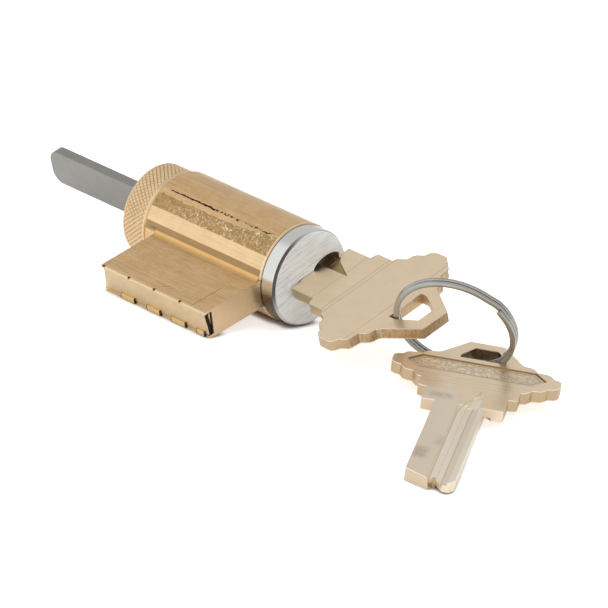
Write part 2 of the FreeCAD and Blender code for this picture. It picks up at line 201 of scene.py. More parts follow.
class Graph:
    """Short way to write a node tree: each call adds a node and returns its output."""

    def __init__(self, tree: NodeTree) -> None:
        """Keep the tree whose nodes are added."""
        self.tree = tree

    def add(self, kind: str, inputs: dict[str | int, object], **settings: object) -> Node:
        """Add a node, set its properties and join or set its inputs.

        Args:
            kind: the node's type name.
            inputs: a socket or a constant for each named or numbered input.
            settings: the node's own properties.

        Returns:
            The new node.
        """
        node = self.tree.nodes.new(kind)
        for name, value in settings.items():
            setattr(node, name, value)
        for key, value in inputs.items():
            if isinstance(value, Socket):
                self.tree.links.new(value, node.inputs[key])
            else:
                node.inputs[key].default_value = value
        return node

    def math(self, operation: str, a: Value, b: Value = 0.0, c: Value = 0.0) -> Socket:
        """One arithmetic step on values."""
        node = self.add("ShaderNodeMath", {0: a, 1: b, 2: c}, operation=operation)
        return node.outputs[0]

    def span(self, value: Socket, low: float, high: float, to_low: float = 0.0,
             to_high: float = 1.0) -> Socket:
        """Carry a value smoothly from low..high to to_low..to_high, and hold it beyond."""
        node = self.add("ShaderNodeMapRange", {"Value": value, "From Min": low, "From Max": high,
                                               "To Min": to_low, "To Max": to_high},
                        interpolation_type="SMOOTHSTEP")
        return node.outputs["Result"]

    def band(self, value: Socket, low: float, high: float, soft: float) -> Socket:
        """1 between low and high, 0 outside, with soft edges.

        Args:
            value: the value to test.
            low: lower edge.
            high: upper edge.
            soft: half the width of the blend at each edge.

        Returns:
            The mask.
        """
        rise = self.span(value, low - soft, low + soft)
        fall = self.span(value, high - soft, high + soft, 1.0, 0.0)
        return self.both(rise, fall)

    def both(self, product: Value, *others: Value) -> Value:
        """Product of masks or values."""
        for other in others:
            product = self.math("MULTIPLY", product, other)
        return product

    def either(self, a: Value, b: Value) -> Socket:
        """The larger of two masks or values."""
        return self.math("MAXIMUM", a, b)

    def plus(self, a: Value, b: Value) -> Socket:
        """Sum."""
        return self.math("ADD", a, b)

    def minus(self, a: Value, b: Value) -> Socket:
        """Difference."""
        return self.math("SUBTRACT", a, b)

    def away(self, a: Value, b: Value) -> Socket:
        """Distance between two values."""
        return self.math("ABSOLUTE", self.minus(a, b))

    def turn(self, z: Value, y: Value) -> Socket:
        """Angle round X in degrees, from +Y towards +Z."""
        return self.math("DEGREES", self.math("ARCTAN2", z, y))

    def above(self, value: Value, limit: float) -> Socket:
        """1 where the value is above the limit, else 0."""
        return self.math("GREATER_THAN", value, limit)

    def below(self, value: Value, limit: Value) -> Socket:
        """1 where the value is below the limit, else 0."""
        return self.math("LESS_THAN", value, limit)

    def near(self, value: Value, places: tuple[float, ...], reach: float) -> Socket:
        """1 within reach of any of the places, with soft edges.

        Args:
            value: the value to test.
            places: the middles of the marks.
            reach: half the width of a mark.

        Returns:
            The mask.
        """
        total: Value = 0.0
        for place in places:
            close = self.span(self.away(value, place), reach * 0.7, reach * 1.3, 1.0, 0.0)
            total = self.either(total, close)
        return total

    def length(self, a: Value, b: Value) -> Socket:
        """Length of the vector (a, b)."""
        return self.math("SQRT", self.plus(self.both(a, a), self.both(b, b)))

    def shift(self, vector: Socket, distance: float) -> Socket:
        """Move a vector, for a second look at the same texture."""
        return self.add("ShaderNodeVectorMath", {0: vector, 1: (distance, distance, distance)},
                        operation="ADD").outputs[0]

    def mix(self, factor: Value, a: Colour | Socket, b: Colour | Socket) -> Socket:
        """Blend two colours.

        Args:
            factor: share of the second colour.
            a: first colour.
            b: second colour.

        Returns:
            The blend.
        """
        ends = [c if isinstance(c, Socket) else (*c, 1.0) for c in (a, b)]
        node = self.add("ShaderNodeMix", {0: factor, 6: ends[0], 7: ends[1]}, data_type="RGBA")
        return node.outputs[2]

    def noise(self, vector: Socket, scale: Value, detail: float = 3.0, rough: float = 0.55,
              warp: float = 0.0) -> Socket:
        """Noise around 0.5."""
        node = self.add("ShaderNodeTexNoise", {"Vector": vector, "Scale": scale, "Detail": detail,
                                               "Roughness": rough, "Distortion": warp})
        return node.outputs["Fac"]

    def stretch(self, vector: Socket, shares: Triple) -> Socket:
        """Scale a vector by a different share along each axis."""
        return self.add("ShaderNodeVectorMath", {0: vector, 1: shares},
                        operation="MULTIPLY").outputs[0]

    def scale(self, vector: Socket, share: Value) -> Socket:
        """Scale a vector alike along all axes."""
        return self.add("ShaderNodeVectorMath", {0: vector, "Scale": share},
                        operation="SCALE").outputs[0]

    def bump(self, height: Socket, distance: float, strength: float) -> Socket:
        """Surface normal from a height, whose 1 is a distance in millimetres."""
        return self.add("ShaderNodeBump", {"Height": height, "Distance": distance * MM,
                                           "Strength": strength}).outputs[0]

    def split(self, vector: Socket) -> tuple[Socket, Socket, Socket]:
        """The three components of a vector."""
        out = self.add("ShaderNodeSeparateXYZ", {0: vector}).outputs
        return out[0], out[1], out[2]

    def join(self, x: Value, y: Value, z: Value) -> Socket:
        """A vector from three values."""
        return self.add("ShaderNodeCombineXYZ", {0: x, 1: y, 2: z}).outputs[0]


class Effect:
    """A shared effect over a vector: a shader node group that is built once."""

    name = "effect"
    inputs: dict[str, float] = {}
    outputs: tuple[str, ...] = ("Mask",)

    @classmethod
    def tree(cls) -> NodeTree:
        """The node group, built at its first use.

        Returns:
            The node group.
        """
        found = bpy.data.node_groups.get(cls.name)
        if found is not None:
            return found
        graph = Graph(bpy.data.node_groups.new(cls.name, "ShaderNodeTree"))
        sockets = graph.tree.interface
        sockets.new_socket(name="Vector", in_out="INPUT", socket_type="NodeSocketVector")
        for name, default in cls.inputs.items():
            made = sockets.new_socket(name=name, in_out="INPUT", socket_type="NodeSocketFloat")
            made.default_value = default
        for name in cls.outputs:
            sockets.new_socket(name=name, in_out="OUTPUT", socket_type="NodeSocketFloat")
        given = graph.add("NodeGroupInput", {}).outputs
        results = cls.build(graph, given["Vector"], *(given[name] for name in cls.inputs))
        graph.add("NodeGroupOutput", dict(zip(cls.outputs, results)))
        return graph.tree

    @classmethod
    def build(cls, graph: Graph, vector: Socket, *values: Socket) -> tuple[Value, ...]:
        """Fill the group from its vector and values, and return a socket for each output."""
        raise NotImplementedError

    @classmethod
    def use(cls, graph: Graph, **inputs: Value) -> Node:
        """Place the group in a material with its own values."""
        return graph.add("ShaderNodeGroup", inputs, node_tree=cls.tree())


class BrushedLines(Effect):
    """Fine lines along the vector's X, as a brush or a drawing die leaves them."""

    name = "brushed_lines"
    inputs = {"Fineness": 6.0}
    outputs = ("Tone", "Coarse")

    @classmethod
    def build(cls, graph: Graph, vector: Socket, *values: Socket) -> tuple[Value, ...]:
        """Noise drawn out along X: fine lines and broader streaks."""
        drawn = graph.scale(graph.stretch(vector, (0.03, 1.0, 1.0)), values[0])
        return graph.noise(drawn, 1.0, 4.0, 0.7), graph.noise(drawn, 0.22, 2.0, 0.5)


class WormMarks(Effect):
    """Short curled scratches, as loose handling in a box leaves them."""

    name = "worm_marks"
    inputs = {"Scale": 1.2, "Width": 0.05}

    @classmethod
    def build(cls, graph: Graph, vector: Socket, *values: Socket) -> tuple[Value, ...]:
        """Contour lines of a noise, cut into short strokes by a second one.

        Args:
            graph: the group's tree.
            vector: where the noise is read.
            values: scale of the noise and width of a line.

        Returns:
            The mask alone.
        """
        scale, width = values
        line = graph.below(graph.away(graph.noise(vector, scale, 0.0, 0.5, 0.6), 0.5), width)
        keep = graph.span(graph.noise(graph.shift(vector, 3.1), 1.2, 2.0), 0.50, 0.53)
        return (graph.both(line, keep),)


class LongScratches(Effect):
    """Sparse hairline scratches along the vector's X."""

    name = "long_scratches"
    inputs = {"Scale": 2.0, "Amount": 0.5}

    @classmethod
    def build(cls, graph: Graph, vector: Socket, *values: Socket) -> tuple[Value, ...]:
        """The crest of drawn-out noise, broken up along its length.

        Args:
            graph: the group's tree.
            vector: where the noise is read.
            values: scale of the noise and amount of scratches.

        Returns:
            The mask alone.
        """
        scale, amount = values
        drawn = graph.scale(graph.stretch(vector, (0.02, 1.0, 1.0)), scale)
        crest = graph.away(graph.noise(drawn, 3.0, 1.0, 0.5), 0.5)
        keep = graph.below(graph.noise(vector, 0.25, 2.0), amount)
        return (graph.both(graph.span(crest, 0.0, 0.012, 1.0, 0.0), keep),)


class Specks(Effect):
    """Scattered dark pits."""

    name = "specks"
    inputs = {"Scale": 1.0, "Size": 0.08, "Share": 0.2}

    @classmethod
    def build(cls, graph: Graph, vector: Socket, *values: Socket) -> tuple[Value, ...]:
        """Small round spots in a share of the cells.

        Args:
            graph: the group's tree.
            vector: where the cells are read.
            values: scale of the cells, size of a spot and share of cells with one.

        Returns:
            The mask alone.
        """
        scale, size, share = values
        cells = graph.add("ShaderNodeTexVoronoi", {"Vector": vector, "Scale": scale}).outputs
        keep = graph.below(graph.split(cells["Color"])[0], share)
        return (graph.both(graph.below(cells["Distance"], size), keep),)


class Mottle(Effect):
    """Cloudy tone of handled metal."""

    name = "mottle"
    inputs = {"Scale": 0.5}
    outputs = ("Tone",)

    @classmethod
    def build(cls, graph: Graph, vector: Socket, *values: Socket) -> tuple[Value, ...]:
        """Two sizes of noise multiplied."""
        broad = graph.noise(vector, values[0], 5.0, 0.6)
        return (graph.both(broad, graph.plus(graph.noise(vector, 5.0, 2.0), 0.5)),)


class Coat(Graph):
    """Node tree of a finish, whose colour is laid on in layers over the piece's own drawing."""

    def __init__(self, tree: NodeTree, place: Placement) -> None:
        """Turn the object's coordinates back into the drawing's. The colour starts black.

        Args:
            tree: the material's empty tree.
            place: where the piece's drawing lies.
        """
        super().__init__(tree)
        turn = place.turn.to_3x3().inverted()
        coords = self.add("ShaderNodeTexCoord", {}).outputs["Object"]
        mapping = self.add("ShaderNodeMapping", {"Vector": coords, "Location": -(turn @ place.origin),
                                                 "Rotation": turn.to_euler("XYZ"),
                                                 "Scale": (1 / MM, 1 / MM, 1 / MM)})
        self.local = mapping.outputs[0]
        self.axes = self.split(self.local)
        self.colour: Colour | Socket = (0.0, 0.0, 0.0)

    def read(self, effect: type[Effect], shift: float = 0.0, **inputs: float) -> Socket:
        """An effect's first output over the drawing, which a shift moves for a second look."""
        vector = self.shift(self.local, shift) if shift else self.local
        return effect.use(self, Vector=vector, **inputs).outputs[0]

    def cloud(self, base: Colour, scale: float, limits: Pair, shares: Pair) -> None:
        """Start with a base colour that a cloudy tone carries between two shares of it."""
        dark, light = (tuple(min(1.0, c * share) for c in base) for share in shares)
        self.colour = self.mix(self.span(self.read(Mottle, Scale=scale), *limits), dark, light)

    def over(self, tone: Colour, *masks: Value) -> None:
        """Lay a tone over the colour, by the product of the masks."""
        self.colour = self.mix(self.both(*masks), self.colour, tone)


class Finish:
    """A metal finish: colour, roughness and normal of one kind of surface."""

    def __init__(self, name: str, place: Placement) -> None:
        """Name the material and say where the piece's drawing lies."""
        self.name = name
        self.place = place

    def material(self) -> Material:
        """Build the material with its Principled shader.

        Returns:
            The material.
        """
        made = bpy.data.materials.new(self.name)
        coat = Coat(bare_tree(made), self.place)
        inputs = {"Metallic": 1.0, **self.surface(coat), "Base Color": coat.colour}
        shader = coat.add("ShaderNodeBsdfPrincipled", inputs)
        coat.add("ShaderNodeOutputMaterial", {"Surface": shader.outputs[0]})
        return made

    def surface(self, coat: Coat) -> dict[str, Value]:
        """Lay on the colour and return the shader's other inputs."""
        raise NotImplementedError


class ShellBrass(Finish):
    """Drawn brass of the barrel and housing, with the marks of rough handling, painted highlights and
    painted shade.

    Places are millimetres in the shell's drawing. Angles run round the plug axis, in
    degrees from +Y towards +Z.
    """

    base: Colour = (0.77, 0.505, 0.250)
    pale: Colour = (0.96, 0.78, 0.52)
    dark: Colour = (0.30, 0.185, 0.085)
    olive: Colour = (0.37, 0.235, 0.100)
    fillet_highlight: Colour = (0.80, 0.47, 0.16)
    soot_and_shade: Colour = (0.030, 0.018, 0.012)
    milled: Colour = (0.66, 0.50, 0.32)
    rubbed: Colour = (0.97, 0.76, 0.42)
    barrel_r: float = 9.0
    worn_deg: Pair = (118.0, 135.5)
    polish_and_sheen_deg: Pair = (135.5, 152.0)
    shade_deg: Pair = (152.0, 162.0)
    gouge_deg: float = 110.6
    gouge_x: Pair = (-27.3, -2.0)
    gouge_solid_to: float = -15.5
    fillet_y: Pair = (-10.4, -8.55)
    fillet_z: float = 2.72
    housing_back: float = -26.4
    flat_z: float = 2.5
    lip_y: float = -21.42
    upper_lip_z: float = 2.1
    lower_lip_z: float = -1.3
    tab_y: float = -21.2
    tab_ends: tuple[float, ...] = (-22.0, -18.6, -15.5, -12.1, -9.3, -5.7, -2.9, -0.9)
    stakes: tuple[float, ...] = (-25.7, -19.3, -12.9, -6.4)
    gap_y: Pair = (-21.76, -20.30)
    gap_z: Pair = (-2.08, 2.32)
    slash_lines: tuple[tuple[Pair, Pair, float], ...] = (
        ((-3.8, -21.6), (-3.6, -14.4), 0.12), ((-3.9, -16.2), (-0.9, -16.5), 0.06),
        ((-12.5, -20.4), (-11.2, -19.2), 0.08), ((-11.4, -20.6), (-10.3, -19.5), 0.06))

    def surface(self, coat: Coat) -> dict[str, Value]:
        """Brushed brass and its marks, each laid over the ones before.

        Args:
            coat: the finish's node tree.

        Returns:
            The shader's inputs other than the colour.
        """
        x, y, z = coat.axes
        turn, radius = coat.turn(z, y), coat.length(y, z)
        on_barrel = coat.both(coat.above(y, self.fillet_y[1]),
                              coat.above(radius, self.barrel_r - 0.12))
        brushed = self.brushing(coat)
        worn, dents, worms = self.worn_stripe(coat, turn, on_barrel)
        # Polished band, a little smoother, also painted pale as a painted reflection of the bright
        # wall it faces.
        polish_and_sheen = coat.both(coat.band(turn, *self.polish_and_sheen_deg, 0.35), on_barrel)
        coat.over(self.pale, polish_and_sheen, 0.35)
        coat.over(self.dark, coat.band(turn, *self.shade_deg, 0.4), on_barrel, 0.8)
        # Painted highlight: a bright orange line where the concave fillet between barrel and housing
        # mirrors the light.
        coat.over(self.fillet_highlight, coat.band(y, *self.fillet_y, 0.05), coat.above(z, self.fillet_z),
                  coat.above(x, self.housing_back), 0.8)
        gouge = self.gouge(coat, turn, on_barrel)
        coat.over(self.soot_and_shade, gouge)
        slashes = self.slashes(coat)
        self.scratches(coat, slashes)
        self.ends(coat)
        rim = coat.both(coat.above(x, -0.35), coat.above(radius, self.barrel_r - 0.5))
        coat.over(self.pale, rim, on_barrel, 0.7)
        rough = coat.plus(coat.span(brushed, 0.3, 0.7, 0.24, 0.36), coat.both(worn, 0.12))
        rough = coat.minus(rough, coat.both(polish_and_sheen, 0.10))
        height = coat.plus(coat.both(brushed, 0.25), coat.both(worms, 0.35))
        for mark, depth in ((gouge, 0.8), (slashes, 0.5), (dents, 0.3)):
            height = coat.minus(height, coat.both(mark, depth))
        return {"Roughness": rough, "Normal": coat.bump(height, 0.03, 0.55)}

    def brushing(self, coat: Coat) -> Socket:
        """The base colour with fine and broad lines along X.

        Args:
            coat: the finish's node tree.

        Returns:
            The tone of the fine lines.
        """
        coat.cloud(self.base, 0.35, (0.25, 0.85), (0.90, 1.08))
        fine = coat.read(BrushedLines, Fineness=7.0)
        coat.over(self.pale, coat.span(fine, 0.54, 0.72), 0.30)
        coat.over(self.dark, coat.span(fine, 0.44, 0.28), 0.30)
        broad = coat.read(BrushedLines, 4.7, Fineness=2.4)
        coat.over(self.pale, coat.span(broad, 0.52, 0.70, 0.0, 0.34))
        coat.over(self.dark, coat.span(broad, 0.47, 0.30, 0.0, 0.36))
        return fine

    def worn_stripe(self, coat: Coat, turn: Socket, on_barrel: Socket) -> tuple[Value, ...]:
        """An olive stripe with a ragged edge, small dents and curled scratches.

        Args:
            coat: the finish's node tree.
            turn: angle round the plug axis.
            on_barrel: mask of the barrel's outside.

        Returns:
            Masks of the stripe, its dents and its scratches.
        """
        x = coat.axes[0]
        low, high = self.worn_deg
        ragged = coat.both(coat.minus(coat.noise(coat.local, 0.8, 4.0), 0.5), 7.0)
        ragged = coat.plus(ragged, coat.span(x, -10.0, -2.0, 0.0, 5.5))
        worn = coat.both(coat.span(coat.plus(turn, ragged), low - 1.0, low + 1.0),
                         coat.span(turn, high - 0.3, high + 0.3, 1.0, 0.0), on_barrel)
        blotch = coat.span(coat.noise(coat.local, 1.7, 7.0, 0.75), 0.38, 0.60, 1.0, 0.60)
        coat.over(self.olive, worn, blotch)
        dents = coat.both(coat.read(WormMarks, 7.3, Scale=1.6, Width=0.022), worn)
        coat.over(self.dark, dents, 0.75)
        worms = coat.either(coat.read(WormMarks, Scale=0.95, Width=0.020),
                            coat.read(WormMarks, 13.7, Scale=1.35, Width=0.026))
        worms = coat.both(worms, worn, coat.span(x, -27.0, -20.0, 0.15, 1.0))
        coat.over(self.pale, worms, 0.95)
        return worn, dents, worms

    def gouge(self, coat: Coat, turn: Socket, on_barrel: Socket) -> Value:
        """One long dark gouge along the barrel, clean behind and broken up in front.

        Args:
            coat: the finish's node tree.
            turn: angle round the plug axis.
            on_barrel: mask of the barrel's outside.

        Returns:
            The mask.
        """
        x = coat.axes[0]
        wander = coat.both(coat.minus(coat.noise(coat.local, 0.6, 4.0), 0.5), 2.8)
        across = coat.away(coat.plus(turn, wander), self.gouge_deg)
        width = coat.both(coat.span(x, -27.5, -14.0, 0.60, 1.15),
                          coat.span(coat.noise(coat.local, 1.9, 2.0), 0.35, 0.60, 0.5, 1.5))
        crumbs = coat.span(coat.noise(coat.local, 1.3, 4.0), 0.49, 0.51)
        solid = coat.span(x, self.gouge_solid_to - 1.0, self.gouge_solid_to + 1.0, 1.0, 0.0)
        return coat.both(coat.below(across, width), coat.either(crumbs, solid),
                         coat.band(x, *self.gouge_x, 0.4), on_barrel)

    def slashes(self, coat: Coat) -> Value:
        """A few slanted scratches on the upper flat of the housing, near its front.

        Args:
            coat: the finish's node tree.

        Returns:
            The mask.
        """
        x, y, z = coat.axes
        total: Value = 0.0
        for (x0, y0), (x1, y1), width in self.slash_lines:
            length = math.hypot(x1 - x0, y1 - y0)
            ux, uy = (x1 - x0) / length, (y1 - y0) / length
            dx, dy = coat.minus(x, x0), coat.minus(y, y0)
            along = coat.plus(coat.both(dx, ux), coat.both(dy, uy))
            across = coat.away(coat.both(dx, uy), coat.both(dy, ux))
            line = coat.both(coat.span(across, width * 0.5, width, 1.0, 0.0),
                             coat.band(along, 0.0, length, 0.4))
            total = coat.either(total, line)
        return coat.both(total, coat.above(z, self.flat_z))

    def scratches(self, coat: Coat, slashes: Value) -> None:
        """Dark hairlines all over, dashes on the housing, the slashes and small specks."""
        dashes = coat.both(coat.read(LongScratches, 9.4, Scale=1.5, Amount=0.50),
                           coat.below(coat.axes[1], -9.5))
        for mask, share in ((coat.read(LongScratches, Scale=2.4, Amount=0.46), 0.45),
                            (coat.read(LongScratches, 5.9, Scale=5.0, Amount=0.52), 0.40),
                            (dashes, 0.80), (slashes, 0.80),
                            (coat.read(Specks, Scale=0.9, Size=0.08, Share=0.22), 0.70)):
            coat.over(self.dark, mask, share)

    def ends(self, coat: Coat) -> None:
        """Paler front face and lips of the housing, and painted shade: near-black in the gaps between
        the lower tabs, in the stake nicks and in the gap before the strip.

        Args:
            coat: the finish's node tree.
        """
        x, y, z = coat.axes
        coat.over(self.milled, coat.above(x, -0.03), coat.below(y, -8.0), 0.75)
        outer, low = coat.below(y, self.lip_y), coat.below(z, self.lower_lip_z)
        upper = coat.both(outer, coat.above(z, self.upper_lip_z))
        coat.over(self.pale, upper, 0.45)
        coat.over(self.rubbed, outer, low, 0.75)
        # Painted shade: near-black in the gaps between the lower lip's tabs and in the stake nicks.
        crevice = coat.both(coat.below(y, self.tab_y), low, coat.near(x, self.tab_ends, 0.15))
        nick = coat.both(upper, coat.near(x, self.stakes, 0.26))
        coat.over(self.soot_and_shade, coat.either(crevice, nick), 0.88)
        # Painted shade: near-black in the gap before the strip, ending in a ragged edge.
        gap = coat.both(coat.band(y, *self.gap_y, 0.04), coat.band(z, *self.gap_z, 0.05))
        ragged_shade_edge = coat.math("MULTIPLY_ADD", coat.noise(coat.local, 1.6, 3.0), 1.7, x)
        coat.over(self.soot_and_shade, gap, coat.span(ragged_shade_edge, 0.20, 0.28), 0.96)


class HeadSilver(Finish):
    """Pale silver face of the plug, brushed straight across, on a brass body."""

    silver: Colour = (0.96, 0.99, 1.00)
    rim: Colour = (0.70, 0.70, 0.68)
    shade: Colour = (0.26, 0.25, 0.235)
    dark: Colour = (0.085, 0.078, 0.070)
    notch_shade: Colour = (0.50, 0.35, 0.18)
    soot_and_shade: Colour = (0.075, 0.050, 0.030)
    rim_shade: Colour = (0.12, 0.078, 0.040)
    brass: Colour = (0.78, 0.56, 0.30)
    head_front: float = 3.20
    head_back: float = 0.14
    head_r: float = 8.75
    chamfer: float = 0.38
    notch_centre: float = 4.20
    notch_r: float = 3.30
    brush_deg: float = -3.0
    chamfer_shade_deg: Pair = (-8.0, 85.0)
    rim_shade_deg: Pair = (-150.0, 10.0)
    silver_depth: Pair = (3.0, 3.15)

    def surface(self, coat: Coat) -> dict[str, Value]:
        """Straight brush lines on the face, painted shade on part of the edge break, on the rim's
        lower side and in the notch, brass behind.

        Args:
            coat: the finish's node tree.

        Returns:
            The shader's inputs other than the colour.
        """
        x, y, z = coat.axes
        radius = coat.length(y, z)
        turned = coat.add("ShaderNodeVectorRotate", {"Vector": coat.local, "Axis": (1, 0, 0),
                                                     "Angle": math.radians(self.brush_deg)},
                          rotation_type="AXIS_ANGLE").outputs[0]
        _, across, up = coat.split(turned)
        lines = BrushedLines.use(coat, Vector=coat.join(across, up, 0.0), Fineness=11.0).outputs
        face = coat.above(x, self.head_front - 0.06)
        coat.colour = coat.mix(face, self.rim, self.silver)
        coat.over(self.shade, coat.span(lines["Tone"], 0.50, 0.30), face, 0.80)
        coat.over(self.shade, coat.span(lines["Coarse"], 0.55, 0.35), face, 0.22)
        corner = self.head_front + self.head_r - self.chamfer
        broken = coat.both(coat.above(coat.plus(x, radius), corner - 0.05),
                           coat.above(radius, self.head_r - self.chamfer - 0.02),
                           coat.above(x, self.head_front - self.chamfer - 0.03))
        # Painted shade: the edge break darkened over one arc of the head.
        turn = coat.turn(z, coat.both(y, -1.0))
        coat.over(self.dark, broken, coat.band(turn, *self.chamfer_shade_deg, 22.0))
        # Painted shade: the lower side of the head's rim darkened.
        coat.over(self.rim_shade, coat.band(turn, *self.rim_shade_deg, 9.0),
                  coat.below(x, self.head_front - self.chamfer),
                  coat.above(radius, self.head_r - 0.1), 0.90)
        from_notch = coat.length(coat.minus(y, self.notch_centre), z)
        # Painted shade: the notch's inside darker brown, nearly black in its upper part.
        notch_shade = coat.both(coat.below(from_notch, self.notch_r + 0.03),
                         coat.below(x, self.head_front - 0.06))
        coat.over(self.notch_shade, notch_shade)
        coat.over(self.soot_and_shade, notch_shade, coat.span(z, 1.45, 1.80), 0.9)
        coat.over(self.brass, coat.below(x, self.head_back))
        rough = coat.either(coat.span(x, *self.silver_depth, 0.20, 0.44), coat.both(notch_shade, 0.6))
        height = coat.both(lines["Tone"], face)
        return {"Roughness": rough, "Metallic": coat.span(x, *self.silver_depth, 1.0, 0.12),
                "Normal": coat.bump(height, 0.02, 0.6)}


class KeyAlloy(Finish):
    """Pale beige key metal: satin faces, silvery milled blade, rough golden walls.

    In the key's drawing s runs out along the blade and n up through its thickness.
    """

    face: Colour = (0.915, 0.738, 0.522)
    blade: Colour = (0.87, 0.755, 0.61)
    bright: Colour = (0.97, 0.88, 0.74)
    wall: Colour = (0.57, 0.43, 0.27)
    torn: Colour = (0.40, 0.25, 0.11)
    gold_in_shade: Colour = (0.42, 0.285, 0.135)
    line: Colour = (0.40, 0.28, 0.16)
    smudge: Colour = (0.33, 0.27, 0.21)
    thick: float = 2.15
    offset: float = -0.20
    shoulder: float = 3.60
    under_step: float = 5.70
    step_v: float = 0.90
    upper_hairs: tuple[Pair, ...] = ((8.5, 0.50), (12.4, 0.50), (13.2, 0.50), (22.1, 0.50))
    under_hairs: tuple[Pair, ...] = ((11.9, 0.35), (13.1, 0.35), (14.6, 0.45), (23.3, 0.35))
    runout_s: Pair = (3.7, 10.9)
    runout_v: Pair = (3.02, 8.4)
    groove_s: Pair = (3.6, 9.2)
    groove_v: Pair = (3.0, 5.6)
    groove_top: float = -1.24
    band_end: float = 10.3
    smudges: tuple[tuple[Pair, Pair, float], ...] = (
        ((5.4, 6.8), (-3.6, 0.3), 0.60), ((-21.4, -16.8), (-2.4, 0.0), 0.50),
        ((-15.2, -11.6), (0.7, 1.6), 0.42))
    panel_centre: Pair = (19.60, 2.30)
    panel_half: Pair = (2.90, 12.00)
    panel_slope: float = 0.7586

    def __init__(self, name: str, place: Placement, hole_tone_and_shade: Colour) -> None:
        """Keep the tone inside the hole of the bow; the spare key's is near-black painted shade."""
        super().__init__(name, place)
        self.hole_tone_and_shade = hole_tone_and_shade

    def surface(self, coat: Coat) -> dict[str, Value]:
        """Faint milling lines across the faces, torn walls, stipple in the lower panel.

        Args:
            coat: the finish's node tree.

        Returns:
            The shader's inputs other than the colour.
        """
        s, v, n = coat.axes
        wall, inside = (coat.add("ShaderNodeAttribute", {}, attribute_name=name).outputs["Fac"]
                        for name in ("wall", "inside"))
        coat.cloud(self.face, 0.3, (0.25, 0.9), (0.94, 1.04))
        under = coat.below(n, self.offset)
        step = coat.both(under, coat.below(v, self.step_v))
        end = coat.math("MULTIPLY_ADD", step, self.under_step, self.shoulder)
        coat.over(self.blade, coat.span(coat.minus(s, end), -0.25, 0.25, 1.0, 0.0), 0.8)
        brushed = BrushedLines.use(coat, Vector=coat.join(v, s, n), Fineness=5.0).outputs["Tone"]
        coat.over(self.line, coat.span(brushed, 0.42, 0.25), 0.22)
        for side, hairs in ((coat.above(n, 0.0), self.upper_hairs), (under, self.under_hairs)):
            for place, share in hairs:
                hair = coat.span(coat.away(s, place), 0.03, 0.09, 1.0, 0.0)
                coat.over(self.line, hair, side, share)
        self.blade_marks(coat, under)
        ragged = self.torn_walls(coat, wall)
        # The hole's walls: golden in the key in the plug, near-black painted shade in the spare key.
        coat.over(self.hole_tone_and_shade, inside, 0.75)
        # Golden bare metal of the groove's run-out, painted darker as shade inside the head's notch.
        runout = coat.both(coat.band(s, *self.runout_s, 0.05), coat.band(v, *self.runout_v, 0.05),
                           coat.below(n, self.offset + self.thick / 2 - 0.15), coat.above(n, 0.2))
        coat.over(self.gold_in_shade, runout, coat.span(v, 2.9, 6.4, 1.0, 0.75))
        # Painted highlight: a bright line along the walls next to each face, where the broken edges
        # catch the light.
        side = coat.away(n, self.offset)
        edge = coat.band(side, self.thick / 2 - 0.14, self.thick / 2 - 0.012, 0.01)
        coat.over(self.bright, edge, 0.85)
        raised, ridge = self.panel(coat, under)
        height = coat.plus(coat.both(brushed, 0.12), coat.both(ragged, 0.9))
        height = coat.plus(height, coat.both(raised, 2.4))
        height = coat.plus(height, coat.both(ridge, 1.6))
        rough = coat.plus(0.34, coat.both(ragged, 0.12))
        return {"Roughness": rough, "Normal": coat.bump(height, 0.05, 0.6)}

    def torn_walls(self, coat: Coat, wall: Socket) -> Value:
        """Golden walls, torn towards the far end of the bow.

        Args:
            coat: the finish's node tree.
            wall: mask of the key's outer walls.

        Returns:
            Mask of the torn places.
        """
        s = coat.axes[0]
        bow_wall = coat.both(wall, coat.span(s, self.shoulder, self.shoulder + 0.6))
        coat.over(self.wall, wall, coat.span(bow_wall, 0.0, 1.0, 0.6, 1.0))
        shreds = coat.noise(coat.stretch(coat.local, (1.0, 1.0, 0.35)), 2.4, 6.0, 0.75)
        ragged = coat.both(bow_wall, coat.span(s, 20.5, 24.0, 0.10, 0.75),
                           coat.span(shreds, 0.42, 0.60))
        coat.over(self.torn, ragged)
        return ragged

    def panel(self, coat: Coat, under: Socket) -> tuple[Value, Value]:
        """Stipple, ridge and grooves of the panel.

        Args:
            coat: the finish's node tree.
            under: mask of the key's lower side.

        Returns:
            Masks of the raised grit and of the ridge.
        """
        depth = self.panel_depth(coat)
        floor = coat.both(coat.span(depth, 0.75, 0.85), under)
        raised = coat.both(coat.span(coat.noise(coat.local, 1.5, 3.0, 0.6, 0.8), 0.49, 0.55), floor)
        coat.over(self.line, coat.minus(floor, raised), 0.40)
        coat.over(self.bright, raised, 0.35)
        ridge = coat.both(coat.band(depth, 0.36, 0.56, 0.05), under)
        grooves = coat.either(coat.band(depth, -0.10, 0.08, 0.05),
                              coat.band(depth, 0.62, 0.80, 0.05))
        coat.over(self.bright, ridge, 0.45)
        coat.over(self.line, grooves, under, 0.95)
        return raised, ridge

    def panel_depth(self, coat: Coat) -> Socket:
        """How far a point lies inside the panel's six-sided edge, in millimetres.

        Args:
            coat: the finish's node tree.

        Returns:
            The depth, below 0 outside the panel.
        """
        along = coat.away(coat.axes[0], self.panel_centre[0])
        side = coat.away(coat.axes[1], self.panel_centre[1])
        slanted = coat.minus(coat.math("MULTIPLY_ADD", along, -self.panel_slope, self.panel_half[1]),
                             side)
        lean = 1 / math.hypot(1.0, self.panel_slope)
        return coat.math("MINIMUM", coat.minus(self.panel_half[0], along), coat.both(slanted, lean))

